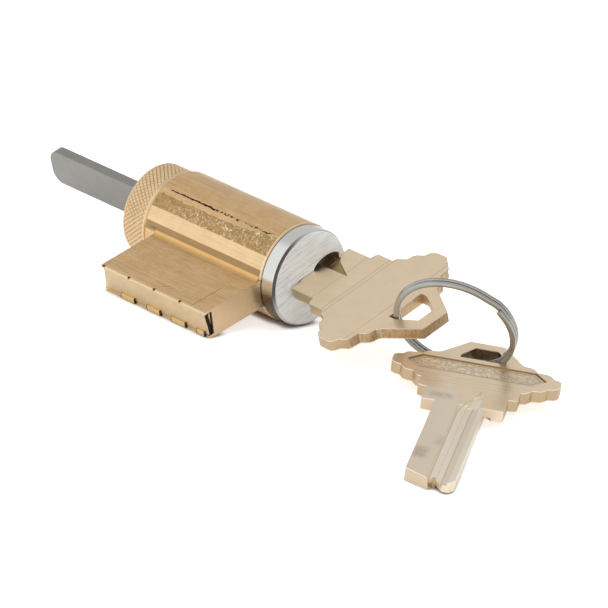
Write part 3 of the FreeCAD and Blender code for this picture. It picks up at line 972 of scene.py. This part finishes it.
    def blade_marks(self, coat: Coat, under: Socket) -> None:
        """On the lower side: a bright milled band that curves out, and dark rubbed smudges.

        Args:
            coat: the finish's node tree.
            under: mask of the key's lower side.
        """
        s, v, n = coat.axes
        middle = coat.span(s, 0.0, self.band_end - 0.1, 3.0, 4.45)
        half = coat.span(s, 0.0, self.band_end, 1.02, 0.0)
        off = coat.minus(coat.away(v, middle), half)
        reach = coat.both(under, coat.below(s, self.band_end))
        coat.over(self.bright, coat.span(off, -0.05, 0.05, 1.0, 0.0), reach, 0.75)
        coat.over(self.line, coat.band(off, -0.04, 0.16, 0.05), reach, 0.40)
        coat.over(self.bright, coat.band(s, *self.groove_s, 0.05),
                  coat.band(v, *self.groove_v, 0.05), under, coat.above(n, self.groove_top), 0.9)
        cloud = coat.span(coat.noise(coat.local, 0.9, 5.0, 0.7), 0.30, 0.60, 0.3, 1.0)
        for along, across, dark in self.smudges:
            coat.over(self.smudge, coat.band(s, *along, 1.3), coat.band(v, *across, 0.8), under,
                      cloud, dark)


class CapBrass(Finish):
    """Turned brass of the cap, pale on the crests of the knurl."""

    base: Colour = (0.80, 0.60, 0.365)
    pit: Colour = (0.36, 0.23, 0.11)

    def surface(self, coat: Coat) -> dict[str, Value]:
        """Darker between the diamonds of the knurl, and slightly grainy.

        Args:
            coat: the finish's node tree.

        Returns:
            The shader's inputs other than the colour.
        """
        deep = coat.add("ShaderNodeAttribute", {}, attribute_name="depth").outputs["Fac"]
        coat.cloud(self.base, 0.8, (0.2, 0.9), (0.92, 1.06))
        coat.over(self.pit, coat.span(deep, 0.50, 1.0), 0.45)
        return {"Roughness": 0.32, "Normal": coat.bump(coat.noise(coat.local, 6.0, 3.0), 0.02, 0.4)}


class PlainMetal(Finish):
    """A plain metal with fine lines along the piece."""

    def __init__(self, name: str, place: Placement, base: Colour, roughness: float,
                 tint: float = 0.1) -> None:
        """Keep the colour, the roughness and how strongly the tone varies.

        Args:
            name: the material's name.
            place: where the piece's drawing lies.
            base: the colour.
            roughness: the middle roughness.
            tint: how far the tone varies, as a share.
        """
        super().__init__(name, place)
        self.base = base
        self.roughness = roughness
        self.tint = tint

    def surface(self, coat: Coat) -> dict[str, Value]:
        """Cloudy tone and fine lines.

        Args:
            coat: the finish's node tree.

        Returns:
            The shader's inputs other than the colour.
        """
        coat.cloud(self.base, 0.5, (0.2, 0.9), (1 - self.tint, 1 + self.tint))
        fine = coat.read(BrushedLines, Fineness=5.0)
        rough = coat.span(fine, 0.3, 0.7, self.roughness * 0.85, self.roughness * 1.15)
        return {"Roughness": rough, "Normal": coat.bump(fine, 0.01, 0.4)}


class StripBrass(PlainMetal):
    """Brass of the strip, with painted shade: a black ragged band that leans over its front edge."""

    soot_and_shade: Colour = (0.025, 0.015, 0.010)
    front: float = -0.12
    outer: float = -21.51

    def surface(self, coat: Coat) -> dict[str, Value]:
        """The plain metal with the painted shade band, by the way from the outer face round the front
        edge.

        Args:
            coat: the finish's node tree.

        Returns:
            The shader's inputs other than the colour.
        """
        inputs = super().surface(coat)
        x, y, z = coat.axes
        path = coat.plus(coat.plus(x, y), -self.front - self.outer)
        lean = coat.span(z, -2.2, 2.4, 0.70, 0.05)
        ragged = coat.math("MULTIPLY_ADD", coat.noise(coat.local, 2.2, 4.0), 0.6, -0.3)
        off = coat.away(coat.plus(path, ragged), lean)
        # Painted shade: near-black where the strip meets the gap in front of it.
        coat.over(self.soot_and_shade, coat.span(off, 0.42, 0.50, 1.0, 0.0))
        return inputs


def new_object(name: str, vertices: np.ndarray, quads: np.ndarray, smooth: bool = True) -> Object:
    """Make a mesh object from arrays of points in metres and of four-cornered faces.

    Args:
        name: the object's name.
        vertices: (n, 3) points.
        quads: (m, 4) indices, counter-clockwise from outside.
        smooth: whether the faces are shaded smooth.

    Returns:
        The object, linked to the scene.
    """
    mesh = bpy.data.meshes.new(name)
    mesh.from_pydata(vertices.tolist(), [], quads.tolist())
    mesh.polygons.foreach_set("use_smooth", np.full(len(mesh.polygons), smooth))
    mesh.update()
    return linked(name, mesh)


def grid_quads(rows: int, columns: int, wrap_rows: bool, wrap_columns: bool) -> np.ndarray:
    """Faces of a grid of rows by columns points, joined round where a direction wraps.

    Args:
        rows: points along the first direction.
        columns: points along the second.
        wrap_rows: whether the last row joins the first.
        wrap_columns: whether the last column joins the first.

    Returns:
        (m, 4) indices.
    """
    last_row = rows if wrap_rows else rows - 1
    last_column = columns if wrap_columns else columns - 1
    i, j = np.meshgrid(np.arange(last_row), np.arange(last_column), indexing="ij")
    i, j = i.ravel(), j.ravel()
    i1, j1 = (i + 1) % rows, (j + 1) % columns
    return np.stack([i * columns + j, i * columns + j1, i1 * columns + j1, i1 * columns + j], 1)


def dressed_copy(node: str, bevel: float, angle_deg: float = 30.0) -> Object:
    """Copy a CAD node, join its loose triangles and break its sharp edges.

    Args:
        node: the CAD node's name.
        bevel: width of the broken edges in millimetres.
        angle_deg: the smallest angle between faces that counts as an edge.

    Returns:
        A new object that replaces the node.
    """
    shape = bmesh.new()
    shape.from_mesh(frame["nodes"][node].data)
    bmesh.ops.remove_doubles(shape, verts=shape.verts, dist=WELD_M)
    bmesh.ops.dissolve_limit(shape, angle_limit=math.radians(FLAT_DEG), verts=shape.verts,
                             edges=shape.edges)
    bmesh.ops.recalc_face_normals(shape, faces=shape.faces)
    mesh = bpy.data.meshes.new(node + "_fine")
    shape.to_mesh(mesh)
    shape.free()
    mesh.polygons.foreach_set("use_smooth", np.full(len(mesh.polygons), True))
    made = linked(node + "_fine", mesh)
    mesh.set_sharp_from_angle(angle=math.radians(angle_deg))
    if bevel > 0:
        edge = made.modifiers.new("broken_edges", "BEVEL")
        edge.width = bevel * MM
        edge.segments = 2
        edge.limit_method = "ANGLE"
        edge.angle_limit = math.radians(angle_deg)
        edge.harden_normals = True
    return made


def put_on(made: Object, body: str, slot: str, material: Material, *nodes: str) -> None:
    """Give a new piece its material and its body, and hide the nodes it stands for.

    Args:
        made: the new piece.
        body: the body that carries it.
        slot: not used.
        material: its finish.
        nodes: the CAD nodes that it replaces.
    """
    made.data.materials.clear()
    made.data.materials.append(material)
    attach(made, body)
    if nodes:
        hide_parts(*nodes)
    LOG.info("%s: %d faces", made.name, len(made.data.polygons))


def close_ends(made: Object) -> None:
    """Fill the open ends of a carried section and turn all faces outwards.

    Args:
        made: the piece.
    """
    shape = bmesh.new()
    shape.from_mesh(made.data)
    bmesh.ops.holes_fill(shape, edges=[e for e in shape.edges if e.is_boundary], sides=0)
    bmesh.ops.recalc_face_normals(shape, faces=shape.faces)
    shape.to_mesh(made.data)
    shape.free()


@dataclass
class Shell:
    """Barrel with the pin housing, and the strip that closes the pin chambers."""

    edge: float = 0.07
    strip_edge: float = 0.05
    strip_end: float = -1.0

    def build(self) -> None:
        """Break the edges, finish the brass and carry the strip on to the front face."""
        shell = dressed_copy("shell", self.edge)
        put_on(shell, "shell", "shell_brass", ShellBrass("shell_brass", LIE.shell()).material(),
               "shell")
        strip = dressed_copy("spring_strip", self.strip_edge)
        points = triples(strip.data.vertices, "co")
        points[points[:, 0] > self.strip_end * MM, 0] = StripBrass.front * MM
        strip.data.vertices.foreach_set("co", points.ravel())
        strip.data.update()
        brass = StripBrass("strip_brass", LIE.shell(), (0.72, 0.56, 0.36), 0.38)
        put_on(strip, "shell", "strip_brass", brass.material(), "spring_strip")


@dataclass
class Plug:
    """Turning plug with the silver head."""

    edge: float = 0.06
    notch_centre: float = HeadSilver.notch_centre
    notch_r: float = HeadSilver.notch_r
    notch_floor: float = 0.95
    key_top: float = 0.875
    flatter: float = 0.55
    head_r: float = HeadSilver.head_r
    web_from: float = 6.30
    web_back: float = 0.17
    web_front: float = 2.85
    web_z: Pair = (-1.29, 0.81)
    web_rows: int = 15

    def build(self) -> None:
        """Break the edges, flatten the notch, and close the slot behind the head's rim."""
        silver = HeadSilver("head_silver", LIE.plug()).material()
        plug = dressed_copy("plug", self.edge)
        self.flatten_notch(plug)
        put_on(plug, "plug", "head_nickel_silver", silver, "plug")
        put_on(self.web(), "plug", "head_nickel_silver", silver)

    def flatten_notch(self, plug: Object) -> None:
        """Turn the notch's round upper wall into a flatter arch.

        A wall point at height z above the key goes to key_top + (z - key_top) * flatter.

        Args:
            plug: the copy of the plug.
        """
        turn = np.array(LIE.plug().turn.to_3x3())
        points = triples(plug.data.vertices, "co") @ turn / MM
        x, y, z = points.T
        off = np.abs(np.hypot(y - self.notch_centre, z) - self.notch_r)
        wall = (off < 0.03) & (x > self.notch_floor - 0.02) & (z > self.key_top)
        points[wall, 2] = self.key_top + (z[wall] - self.key_top) * self.flatter
        plug.data.vertices.foreach_set("co", LIE.plug().points(points).ravel())
        plug.data.update()

    def web(self) -> Object:
        """A web in the head's slot, outside the blade, that follows notch and rim.

        Its section in x and y is an L, carried along z. The inner wall lies on the notch's
        circle, y = centre + sqrt(r^2 - z^2), and the outer one on the rim, y = sqrt(R^2 - z^2).

        Returns:
            The web.
        """
        z = np.linspace(*self.web_z, self.web_rows)
        inner = self.notch_centre + np.sqrt(self.notch_r ** 2 - z ** 2)
        outer = np.sqrt((self.head_r - 0.02) ** 2 - z ** 2)
        blade = np.full_like(z, self.web_from)
        back, floor, front = self.web_back, self.notch_floor - 0.01, self.web_front
        section = ((back, blade), (back, outer), (front, outer), (front, inner), (floor, inner),
                   (floor, blade))
        local = np.stack([np.stack([np.full_like(z, x), y, z], -1) for x, y in section], 1)
        quads = grid_quads(len(z), len(section), False, True)
        web = new_object("head_slot_web", LIE.plug().points(local.reshape(-1, 3)), quads, False)
        close_ends(web)
        return web


@dataclass
class Cap:
    """Knurled cap behind the shell."""

    radius: float = 8.50
    front: float = -29.65
    back: float = -35.80
    wall: float = 1.30
    chamfer: float = 0.40
    bore: float = 6.05
    hole_tone_and_shade: float = 3.62
    knurls: int = 60
    knurl_depth: float = 0.20
    knurl_lead: float = 1.15
    crest: float = 0.42
    fade: float = 0.12
    front_land: float = 0.45
    back_land: float = 0.10
    sharp_deg: float = 38.0
    around: int = 960
    along: int = 86

    def build(self) -> None:
        """A body of revolution whose outer wall sinks between diamonds.

        The depth at (x, angle) is the larger of two triangle waves that run round the
        cap as left-hand and right-hand screws.
        """
        inner = self.back + self.wall
        outer_x = np.linspace(self.front - self.chamfer, self.back + self.chamfer, self.along)
        xs = np.concatenate([[inner, self.front, self.front], outer_x,
                             [self.back, self.back, inner]])
        rs = np.concatenate([[self.bore, self.bore, self.radius - self.chamfer],
                             np.full(self.along, self.radius),
                             [self.radius - self.chamfer, self.hole_tone_and_shade, self.hole_tone_and_shade]])
        turn = np.linspace(0, 2 * np.pi, self.around, endpoint=False)
        x, a = np.meshgrid(xs, turn, indexing="ij")
        pitch = 2 * np.pi * self.radius / self.knurls
        phase = a * self.knurls / (2 * np.pi)
        lead = x / (pitch * self.knurl_lead)
        waves = [np.abs(((phase + side * lead) % 1.0) - 0.5) * 2 for side in (1, -1)]
        groove = np.maximum(*waves)
        on_wall = np.zeros_like(x)
        on_wall[3:3 + self.along] = 1.0
        fade = np.clip(np.minimum(outer_x[0] - self.front_land - x,
                                  x - outer_x[-1] - self.back_land) / self.fade, 0, 1)
        deep = np.clip((groove - self.crest) / (1 - self.crest), 0, 1)
        sink = self.knurl_depth * deep * on_wall * fade
        r = rs[:, None] - sink
        local = np.stack([x, r * np.cos(a), r * np.sin(a)], -1).reshape(-1, 3)
        quads = grid_quads(len(xs), self.around, True, True)
        cap = new_object("plug_cap_knurled", LIE.plug().points(local), quads)
        depth = cap.data.attributes.new("depth", "FLOAT", "POINT")
        depth.data.foreach_set("value", (sink / self.knurl_depth).ravel().astype(np.float32))
        cap.data.set_sharp_from_angle(angle=math.radians(self.sharp_deg))
        put_on(cap, "plug", "cap_brass", CapBrass("cap_brass", LIE.plug()).material(), "plug_cap")


@dataclass
class Tail:
    """Flat steel tail blade."""

    edge: float = 0.18

    def build(self) -> None:
        """Round the sheared edges and finish the steel."""
        tail = dressed_copy("tail_blade", self.edge)
        steel = PlainMetal("tail_steel", LIE.plug(), (0.33, 0.318, 0.297), 0.36, 0.06)
        put_on(tail, "plug", "tail_steel", steel.material(), "tail_blade")


@dataclass
class Keys:
    """The key in the plug and the spare key, from one pattern."""

    edge: float = 0.13
    hole_from: float = 23.9
    hole_to: float = 29.3
    hole_centre: float = 2.60
    hole_half: float = 4.0
    runout_to: float = 9.6
    runout_v: Pair = (2.9, 7.6)
    # Hole walls per key: golden, then near-black painted shade for the spare key.
    hole_tones_and_shade: tuple[Colour, Colour] = ((0.86, 0.66, 0.42), (0.08, 0.05, 0.02))

    def build(self) -> None:
        """Break the edges, mark the walls, and finish both keys."""
        pattern = (("key", LIE.plug()), ("spare_key", LIE.spare_key()))
        for (node, place), hole_tone_and_shade in zip(pattern, self.hole_tones_and_shade):
            key = dressed_copy(node, self.edge)
            self.mark(key, place)
            material = KeyAlloy(node + "_alloy", place, hole_tone_and_shade).material()
            put_on(key, node, "key_brass", material, node)

    def mark(self, key: Object, place: Placement) -> None:
        """Write 1 on the faces of the outer walls, and 1 on the walls of the hole.

        Args:
            key: the copy of a key.
            place: where its drawing lies.
        """
        mesh = key.data
        back = np.array(place.turn.to_3x3())
        normals = triples(mesh.polygons, "normal") @ back
        centres = (triples(mesh.polygons, "center") / MM - np.array(place.origin)) @ back
        s, v = centres[:, 0], centres[:, 1]
        upright = np.abs(normals[:, 2]) < 0.5
        runout = (s < self.runout_to) & (v > self.runout_v[0]) & (v < self.runout_v[1])
        in_hole = ((s > self.hole_from) & (s < self.hole_to)
                   & (np.abs(v - self.hole_centre) < self.hole_half))
        for name, chosen in (("wall", upright & ~runout), ("inside", upright & in_hole)):
            layer = mesh.attributes.new(name, "FLOAT", "FACE")
            layer.data.foreach_set("value", chosen.astype(np.float32))


@dataclass
class Ring:
    """Split ring: two turns of flattened wire whose ends lap past each other."""

    radius: float = 10.43
    wire_radial: float = 1.05
    wire_axial: float = 0.72
    turn_gap: float = 0.04
    lap: float = 76.0
    spread: float = 18.0
    start: float = 68.0
    centre: Triple = (34.45, 3.93, 1.45)
    axis: Triple = (0.4115, -0.7554, -0.5100)
    steps: int = 420
    section: int = 20
    roundness: float = 3.2
    end_share: float = 0.86
    sharp_deg: float = 50.0

    def build(self) -> None:
        """A rounded section carried along the wire, closed at both cut ends.

        The path goes round clockwise at a constant radius. Its layer steps from +1 to -1
        pitch, so there are three layers where the ends lap and two elsewhere. The section
        is a superellipse, flat on all four sides.
        """
        path = np.linspace(0, 720 + self.lap, self.steps)
        layer = self.layer(path) * (self.wire_axial + self.turn_gap)
        angle = np.radians(self.start - path)
        t = np.linspace(0, 2 * np.pi, self.section, endpoint=False)
        flat = 2 / self.roundness
        radial = np.sign(np.cos(t)) * np.abs(np.cos(t)) ** flat * self.wire_radial / 2
        axial = np.sign(np.sin(t)) * np.abs(np.sin(t)) ** flat * self.wire_axial / 2
        shrink = np.ones(self.steps)
        shrink[0] = shrink[-1] = self.end_share
        r = self.radius + shrink[:, None] * radial[None, :]
        z = layer[:, None] + shrink[:, None] * axial[None, :]
        a = angle[:, None]
        local = np.stack([r * np.cos(a), r * np.sin(a), z], -1).reshape(-1, 3)
        axis = Vector(self.axis).normalized()
        turn = Vector((0, 0, 1)).rotation_difference(axis).to_matrix().to_4x4()
        place = Placement(turn, Vector(self.centre))
        quads = grid_quads(self.steps, self.section, False, True)
        ring = new_object("split_ring_wire", place.points(local), quads)
        close_ends(ring)
        ring.data.set_sharp_from_angle(angle=math.radians(self.sharp_deg))
        nickel = PlainMetal("ring_nickel", place, (0.43, 0.42, 0.395), 0.20, 0.05)
        put_on(ring, "split_ring", "ring_nickel", nickel.material(), "split_ring")

    def layer(self, path: np.ndarray) -> np.ndarray:
        """Layer at each angle of the path, in pitches, eased at each step.

        Args:
            path: angles along the wire in degrees.

        Returns:
            The layers.
        """
        lap, spread = self.lap, self.spread
        at = np.array([0, lap, lap + spread, 360 - spread, 360, 360 + lap, 360 + lap + spread,
                       720 - spread, 720, 720 + lap])
        to = np.array([1, 1, 0.5, 0.5, 0, 0, -0.5, -0.5, -1, -1])
        i = np.clip(np.searchsorted(at, path, side="right") - 1, 0, len(at) - 2)
        part = (path - at[i]) / (at[i + 1] - at[i])
        return to[i] + (to[i + 1] - to[i]) * (3 * part ** 2 - 2 * part ** 3)


@dataclass
class InnerWorks:
    """Pins and springs inside."""

    pins: int = 6
    smooth_deg: float = 60.0

    def build(self) -> None:
        """Give each inner piece its metal."""
        brass = PlainMetal("pin_brass", LIE.shell(), (0.82, 0.62, 0.34), 0.22).material()
        wire = PlainMetal("spring_wire", LIE.shell(), (0.60, 0.60, 0.60), 0.25).material()
        steel = PlainMetal("pin_steel", LIE.plug(), (0.72, 0.72, 0.70), 0.18).material()
        for number in range(1, self.pins + 1):
            self.dress("key_pin_%d" % number, brass)
            self.dress("driver_pin_%d" % number, brass)
            self.spring("pin_spring_%d" % number, "shell", "driver_pin_%d_slide" % number, wire)
        self.dress("cap_pin", steel)
        self.spring("cap_pin_spring", "plug", "cap_pin_press", wire)

    def spring(self, node: str, body: str, joint: str, material: Material) -> None:
        """Copy a spring, give it its metal and body, and read the slide of the pin that presses it.

        Args:
            node: the spring's CAD node.
            body: the body that carries it.
            joint: the slide whose travel shortens it.
            material: its metal.
        """
        made = dressed_copy(node, 0.0, self.smooth_deg)
        put_on(made, body, "spring_steel", material, node)
        slide = next(j for j in frame["joints"] if j["name"] == joint)
        axis = np.array(slide["axis"], float)
        points = triples(made.data.vertices, "co")
        reach = points @ axis
        tuple(points[reach.argmax()])
        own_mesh(made)

    def dress(self, node: str, material: Material) -> None:
        """Put a material on a CAD node.

        Args:
            node: the CAD node's name.
            material: its metal.
        """
        slots = frame["nodes"][node].data.materials
        slots.clear()
        slots.append(material)


@dataclass
class Studio:
    """White table, a grey room with one white wall, a soft lamp overhead, and the camera."""

    table: float = -9.0
    table_size: float = 3.0
    room_light: float = 0.70
    wall_light: float = 0.35
    top_light: float = 0.15
    wall_y: Pair = (-0.05, -0.28)
    wall_z: Pair = (0.70, 0.76)
    top_z: Pair = (0.80, 0.95)
    shade_reach: float = 1.4
    shade_tone: Pair = (0.25, 0.95)
    table_tone: Colour = (0.80, 0.80, 0.80)
    table_glow: float = 0.62
    table_mirrored: float = 0.25
    lamp_size: float = 0.5
    lamp_watts: float = 2.0
    lamp_place: Triple = (-0.10, 0.05, 0.80)
    azimuth: float = 43.203
    elevation: float = 19.441
    roll: float = 7.344
    distance: float = 1086.9
    target: Triple = (12.265, -10.39, 0.0)
    lens: float = 377.15
    sensor: float = 36.0

    def build(self) -> None:
        """Set up table, world, lamps and camera."""
        self.floor()
        self.world()
        self.lamps()
        self.camera()
        bpy.context.scene.view_settings.view_transform = "Standard"

    def floor(self) -> None:
        """A pale table that shows white to the camera and keeps the shadow."""
        half = self.table_size / 2
        z = self.table * MM
        corners = np.array([(-half, -half, z), (half, -half, z), (half, half, z), (-half, half, z)])
        floor = new_object("table", corners, np.array([[0, 1, 2, 3]]), False)
        made = bpy.data.materials.new("table_white")
        graph = Graph(bare_tree(made))
        diffuse = graph.add("ShaderNodeBsdfDiffuse", {"Color": (*self.table_tone, 1)})
        rays = graph.add("ShaderNodeLightPath", {})
        seen = graph.plus(graph.both(rays.outputs["Is Camera Ray"], self.table_glow),
                          graph.both(rays.outputs["Is Glossy Ray"], self.table_mirrored))
        near = graph.add("ShaderNodeAmbientOcclusion", {"Distance": self.shade_reach * MM},
                         samples=8).outputs["AO"]
        seen = graph.both(seen, graph.span(near, *self.shade_tone))
        glow = graph.add("ShaderNodeEmission", {"Color": (1, 1, 1, 1), "Strength": seen})
        both = graph.add("ShaderNodeAddShader", {0: diffuse.outputs[0], 1: glow.outputs[0]})
        graph.add("ShaderNodeOutputMaterial", {"Surface": both.outputs[0]})
        floor.data.materials.append(made)

    def world(self) -> None:
        """White to the camera; to the object a grey room with a white wall on the housing's side."""
        world = bpy.data.worlds.new("studio")
        bpy.context.scene.world = world
        graph = Graph(bare_tree(world))
        _, y, z = graph.split(graph.add("ShaderNodeTexCoord", {}).outputs["Generated"])
        wall = graph.both(graph.span(y, *self.wall_y), graph.span(z, *self.wall_z, 1.0, 0.0))
        tone = graph.math("MULTIPLY_ADD", wall, self.wall_light, self.room_light)
        tone = graph.math("MULTIPLY_ADD", graph.span(z, *self.top_z), self.top_light, tone)
        seen = graph.add("ShaderNodeLightPath", {}).outputs["Is Camera Ray"]
        tone = graph.either(graph.both(tone, graph.minus(1.0, seen)), seen)
        sky = graph.add("ShaderNodeBackground", {"Color": (1, 1, 1, 1), "Strength": tone})
        graph.add("ShaderNodeOutputWorld", {"Surface": sky.outputs[0]})

    def lamps(self) -> None:
        """One broad soft lamp overhead, for the shadow on the table."""
        data = bpy.data.lights.new("top_lamp", "AREA")
        data.size = self.lamp_size
        data.energy = self.lamp_watts
        made = linked("top_lamp", data)
        made.location = self.lamp_place
        made.visible_glossy = False

    def camera(self) -> None:
        """Long lens from the key side, rolled as in the photograph."""
        data = bpy.data.cameras.new("camera")
        data.lens = self.lens
        data.sensor_width = self.sensor
        data.clip_end = 10.0
        made = linked("camera", data)
        azimuth, elevation = math.radians(self.azimuth), math.radians(self.elevation)
        back = Vector((math.sin(azimuth) * math.cos(elevation),
                       -math.cos(azimuth) * math.cos(elevation), math.sin(elevation)))
        made.location = (Vector(self.target) + back * self.distance) * MM
        upright = back.to_track_quat("Z", "Y").to_matrix().to_4x4()
        turned = upright @ Matrix.Rotation(math.radians(self.roll), 4, "Z")
        made.rotation_euler = turned.to_euler()
        bpy.context.scene.camera = made


def main() -> None:
    """Build the sub-assemblies in order, then the studio."""
    logging.basicConfig(level=logging.INFO, format="%(name)s: %(message)s")
    for part in (Shell(), Plug(), Cap(), Tail(), Keys(), Ring(), InnerWorks(), Studio()):
        part.build()
        LOG.info("%s done", type(part).__name__)


if __name__ == "__main__":
    main()
